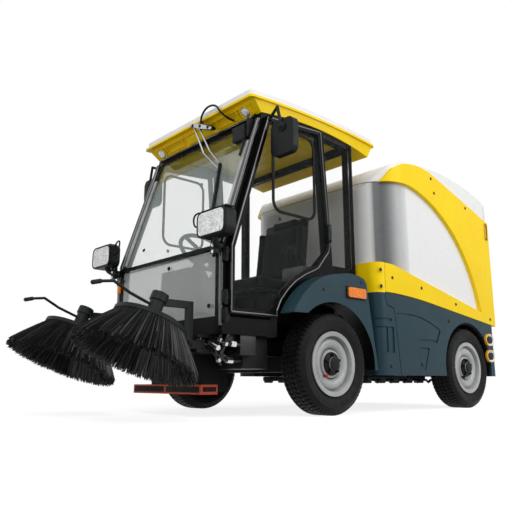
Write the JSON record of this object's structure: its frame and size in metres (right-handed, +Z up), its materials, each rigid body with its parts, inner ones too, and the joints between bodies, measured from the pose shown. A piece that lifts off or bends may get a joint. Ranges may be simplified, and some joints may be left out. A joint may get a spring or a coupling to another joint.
{
  "type": "electric road sweeper",
  "caption": "Compact electric road sweeper with a glazed cab over the front axle, front disc brushes on swinging arms and a tipping rear hopper.",
  "frame": {"origin": "on the ground under the middle of the vehicle", "axes": "+Z up, -Y the way it drives, +X the vehicle's left side"},
  "size_m": [1.668, 3.6574, 2.0339],
  "materials": {
    "chassis_black": "satin black paint",
    "cab_black": "satin black paint",
    "case_grey": "satin paint",
    "clear_glass": "clear, faint green",
    "yellow": "gloss yellow paint",
    "white": "gloss white",
    "hopper_white": "gloss white and bright steel",
    "blue_grey": "satin blue-grey",
    "black_plastic": "fine grain",
    "seat_fabric": "black cloth",
    "amber_lens": "clear amber lens",
    "red_lens": "clear red lens",
    "lamp_glass": "clear lens",
    "tyre": "black rubber",
    "rim_silver": "silver paint",
    "motor_grey": "satin grey paint",
    "bristle": "black bristles",
    "orange_red": "satin orange-red paint"
  },
  "bodies": {
    "chassis": {"chassis_rails": "chassis_black", "cross_members": "chassis_black", "tow_eye": "chassis_black", "front_axle": "chassis_black", "rear_axle": "chassis_black", "battery_pack": "case_grey", "cab_floor": "cab_black", "cab_body": "cab_black", "cab_glass": "clear_glass", "roof_shell": "yellow", "roof_cap": "white", "dashboard": "black_plastic", "steering_wheel": "black_plastic", "seat": "seat_fabric", "fender_lamps": "amber_lens", "headlamp_cases": "black_plastic", "headlamp_lenses": "lamp_glass", "work_lamps": "lamp_glass", "beacon": "amber_lens", "wiper": "black_plastic", "brush_carrier": "chassis_black", "suction_mouth": "orange_red", "suction_duct": "chassis_black", "rear_skirts": "blue_grey", "rear_panel": "blue_grey", "corner_panels": "yellow", "tail_lamps": "red_lens", "fender_left": "blue_grey", "fender_right": "blue_grey"},
    "knuckle_left": {"knuckle_left": "chassis_black"},
    "knuckle_right": {"knuckle_right": "chassis_black"},
    "wheel_front_left": {"tyre_front_left": "tyre", "rim_front_left": "rim_silver"},
    "wheel_front_right": {"tyre_front_right": "tyre", "rim_front_right": "rim_silver"},
    "wheel_rear_left": {"tyre_rear_left": "tyre", "rim_rear_left": "rim_silver"},
    "wheel_rear_right": {"tyre_rear_right": "tyre", "rim_rear_right": "rim_silver"},
    "door_left": {"door_frame_left": "cab_black", "door_glass_left": "clear_glass", "mirror_left": "black_plastic"},
    "door_right": {"door_frame_right": "cab_black", "door_glass_right": "clear_glass", "mirror_right": "black_plastic"},
    "hopper": {"hopper_body": "hopper_white", "hopper_bands": "yellow"},
    "gate": {"hopper_gate": "hopper_white"},
    "swing_left": {"brush_bracket_left": "chassis_black"},
    "arm_left": {"brush_arm_left": "motor_grey"},
    "brush_left": {"brush_head_left": "motor_grey", "brush_bristles_left": "bristle"},
    "swing_right": {"brush_bracket_right": "chassis_black"},
    "arm_right": {"brush_arm_right": "motor_grey"},
    "brush_right": {"brush_head_right": "motor_grey", "brush_bristles_right": "bristle"}
  },
  "joints": [
    {"name": "steer_left", "type": "hinge", "parent": "chassis", "child": "knuckle_left", "pos_m": [0.585, -0.287, 0.308], "axis": [0, 0, 1], "range_deg": [-30, 30]},
    {"name": "steer_right", "type": "hinge", "parent": "chassis", "child": "knuckle_right", "pos_m": [-0.585, -0.287, 0.308], "axis": [0, 0, 1], "range_deg": [-30, 30]},
    {"name": "roll_front_left", "type": "hinge", "parent": "knuckle_left", "child": "wheel_front_left", "pos_m": [0.645, -0.287, 0.308], "axis": [1, 0, 0], "continuous": true},
    {"name": "roll_front_right", "type": "hinge", "parent": "knuckle_right", "child": "wheel_front_right", "pos_m": [-0.645, -0.287, 0.308], "axis": [1, 0, 0], "continuous": true},
    {"name": "roll_rear_left", "type": "hinge", "parent": "chassis", "child": "wheel_rear_left", "pos_m": [0.645, 1.317, 0.308], "axis": [1, 0, 0], "continuous": true},
    {"name": "roll_rear_right", "type": "hinge", "parent": "chassis", "child": "wheel_rear_right", "pos_m": [-0.645, 1.317, 0.308], "axis": [1, 0, 0], "continuous": true},
    {"name": "door_left", "type": "hinge", "parent": "chassis", "child": "door_left", "pos_m": [0.605, -1.039, 0.8], "axis": [0, 0, -1], "range_deg": [0, 75]},
    {"name": "door_right", "type": "hinge", "parent": "chassis", "child": "door_right", "pos_m": [-0.605, -1.039, 0.8], "axis": [0, 0, 1], "range_deg": [0, 75]},
    {"name": "hopper_tip", "type": "hinge", "parent": "chassis", "child": "hopper", "pos_m": [0, 1.803, 0.628], "axis": [-1, 0, 0], "range_deg": [0, 45]},
    {"name": "gate", "type": "hinge", "parent": "hopper", "child": "gate", "pos_m": [0, 1.8145, 1.77], "axis": [1, 0, 0], "range_deg": [0, 85]},
    {"name": "brush_swing_left", "type": "hinge", "parent": "chassis", "child": "swing_left", "pos_m": [0.433, -1.107, 0.4], "axis": [0, 0, 1], "range_deg": [0, 25]},
    {"name": "brush_lower_left", "type": "hinge", "parent": "swing_left", "child": "arm_left", "pos_m": [0.433, -1.167, 0.4], "axis": [1, 0, 0], "range_deg": [0, 38]},
    {"name": "brush_spin_left", "type": "hinge", "parent": "arm_left", "child": "brush_left", "pos_m": [0.433, -1.51, 0.3], "axis": [0, 0.3907, 0.9205], "continuous": true},
    {"name": "brush_swing_right", "type": "hinge", "parent": "chassis", "child": "swing_right", "pos_m": [-0.433, -1.107, 0.4], "axis": [0, 0, -1], "range_deg": [0, 25]},
    {"name": "brush_lower_right", "type": "hinge", "parent": "swing_right", "child": "arm_right", "pos_m": [-0.433, -1.167, 0.4], "axis": [1, 0, 0], "range_deg": [0, 38]},
    {"name": "brush_spin_right", "type": "hinge", "parent": "arm_right", "child": "brush_right", "pos_m": [-0.433, -1.51, 0.3], "axis": [0, 0.3907, 0.9205], "continuous": true}
  ],
  "couplings": [
    {"joint": "steer_right", "follows": "steer_left", "ratio": 1}
  ]
}
